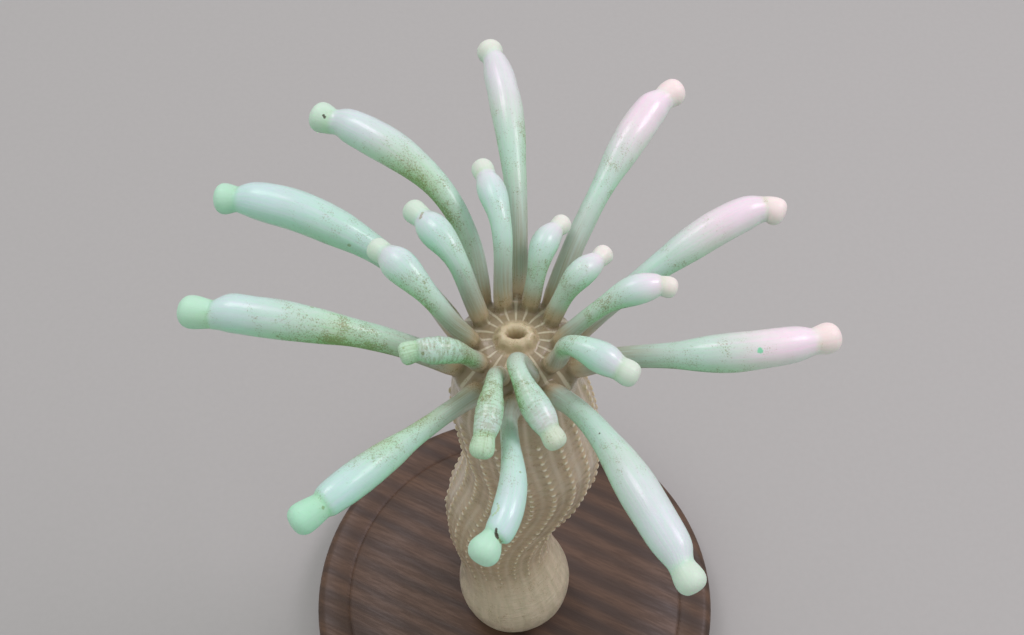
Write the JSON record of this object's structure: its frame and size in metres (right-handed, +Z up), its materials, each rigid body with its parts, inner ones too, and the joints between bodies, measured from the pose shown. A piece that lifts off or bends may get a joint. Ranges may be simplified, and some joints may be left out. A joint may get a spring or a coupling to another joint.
{
  "type": "burrowing sea anemone model",
  "caption": "Life-size still model of a burrowing sea anemone: a crown of knob-tipped tentacles on a tall ribbed column, standing on a round wooden base.",
  "frame": {"origin": "middle of the underside of the round base, which rests on the floor", "axes": "+Z up along the column; -Y towards the viewer, +X to the viewer's right"},
  "size_m": [0.068, 0.069, 0.0967],
  "materials": {
    "cream_knob": "wet, satin",
    "pale_shaft": "wet, glossy",
    "dusky_stalk": "wet, satin",
    "oral_disc_skin": "wet, satin",
    "lip_skin": "wet, glossy",
    "column_skin": "wet, satin",
    "physa_skin": "wet, satin",
    "dark_wood": "satin varnish"
  },
  "bodies": {
    "root": {"outer_tentacle_01_stalk": "dusky_stalk", "outer_tentacle_01_shaft": "pale_shaft", "outer_tentacle_01_knob": "cream_knob", "outer_tentacle_02_stalk": "dusky_stalk", "outer_tentacle_02_shaft": "pale_shaft", "outer_tentacle_02_knob": "cream_knob", "outer_tentacle_03_stalk": "dusky_stalk", "outer_tentacle_03_shaft": "pale_shaft", "outer_tentacle_03_knob": "cream_knob", "outer_tentacle_04_stalk": "dusky_stalk", "outer_tentacle_04_shaft": "pale_shaft", "outer_tentacle_04_knob": "cream_knob", "outer_tentacle_05_stalk": "dusky_stalk", "outer_tentacle_05_shaft": "pale_shaft", "outer_tentacle_05_knob": "cream_knob", "outer_tentacle_06_stalk": "dusky_stalk", "outer_tentacle_06_shaft": "pale_shaft", "outer_tentacle_06_knob": "cream_knob", "outer_tentacle_07_stalk": "dusky_stalk", "outer_tentacle_07_shaft": "pale_shaft", "outer_tentacle_07_knob": "cream_knob", "outer_tentacle_08_stalk": "dusky_stalk", "outer_tentacle_08_shaft": "pale_shaft", "outer_tentacle_08_knob": "cream_knob", "outer_tentacle_09_stalk": "dusky_stalk", "outer_tentacle_09_shaft": "pale_shaft", "outer_tentacle_09_knob": "cream_knob", "outer_tentacle_10_stalk": "dusky_stalk", "outer_tentacle_10_shaft": "pale_shaft", "outer_tentacle_10_knob": "cream_knob", "inner_tentacle_01_shaft": "pale_shaft", "inner_tentacle_01_knob": "cream_knob", "inner_tentacle_02_shaft": "pale_shaft", "inner_tentacle_02_knob": "cream_knob", "inner_tentacle_03_shaft": "pale_shaft", "inner_tentacle_03_knob": "cream_knob", "inner_tentacle_04_shaft": "pale_shaft", "inner_tentacle_04_knob": "cream_knob", "inner_tentacle_05_shaft": "pale_shaft", "inner_tentacle_05_knob": "cream_knob", "inner_tentacle_06_shaft": "pale_shaft", "inner_tentacle_06_knob": "cream_knob", "inner_tentacle_07_shaft": "pale_shaft", "inner_tentacle_07_knob": "cream_knob", "inner_tentacle_08_shaft": "pale_shaft", "inner_tentacle_08_knob": "cream_knob", "inner_tentacle_09_shaft": "pale_shaft", "inner_tentacle_09_knob": "cream_knob", "inner_tentacle_10_shaft": "pale_shaft", "inner_tentacle_10_knob": "cream_knob", "oral_disc": "oral_disc_skin", "mouth_lips": "lip_skin", "capitulum": "column_skin", "scapus_upper": "column_skin", "scapus_lower": "column_skin", "physa": "physa_skin", "stand_base": "dark_wood"}
  },
  "joints": []
}
